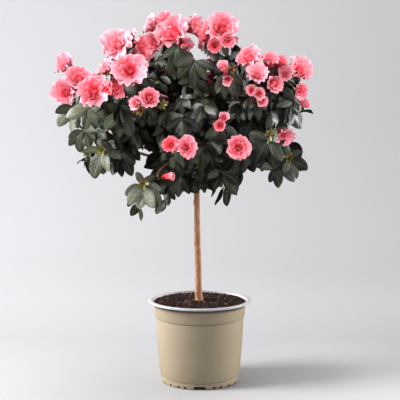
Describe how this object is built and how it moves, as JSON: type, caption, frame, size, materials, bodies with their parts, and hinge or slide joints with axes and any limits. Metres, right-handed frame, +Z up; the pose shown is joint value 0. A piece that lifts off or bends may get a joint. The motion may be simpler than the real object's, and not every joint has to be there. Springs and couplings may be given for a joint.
{
  "type": "potted azalea standard",
  "caption": "Small azalea grown as a standard: one clear stem and a domed flowering crown, rooted in a round nursery pot that stands on its flat underside.",
  "frame": {"origin": "centre of the pot's flat underside, on the surface that the pot stands on", "axes": "+Z up along the pot's axis, +X to the right and -Y towards the viewer, seen from the front"},
  "size_m": [0.369, 0.3112, 0.5359],
  "materials": {
    "pot_plastic": "taupe thin sheet plastic with a soft sheen, white inside and on the rim",
    "compost": "dark brown crumbly peat compost",
    "bark": "thin tan brown bark, matt, with small knots",
    "leaf": "dark green leathery leaves with a satin sheen",
    "petal": "soft coral pink double petals, pale at the rim and red in the throat"
  },
  "bodies": {
    "root": {"pot": "pot_plastic", "soil": "compost", "trunk": "bark", "bough_left_foot": "bark", "bough_left_low": "bark", "bough_right_low": "bark", "bough_front": "bark", "bough_back_left": "bark", "bough_back_right": "bark", "bough_left": "bark", "bough_right": "bark", "bough_top_left": "bark", "bough_top_right": "bark", "foliage_left": "leaf", "foliage_top_left": "leaf", "foliage_top_right": "leaf", "foliage_right": "leaf", "foliage_left_low": "leaf", "foliage_left_foot": "leaf", "foliage_front": "leaf", "foliage_front_left": "leaf", "foliage_front_right": "leaf", "foliage_right_low": "leaf", "foliage_middle_low": "leaf", "foliage_back_left": "leaf", "foliage_back_right": "leaf", "foliage_back_low": "leaf"}
  },
  "joints": []
}
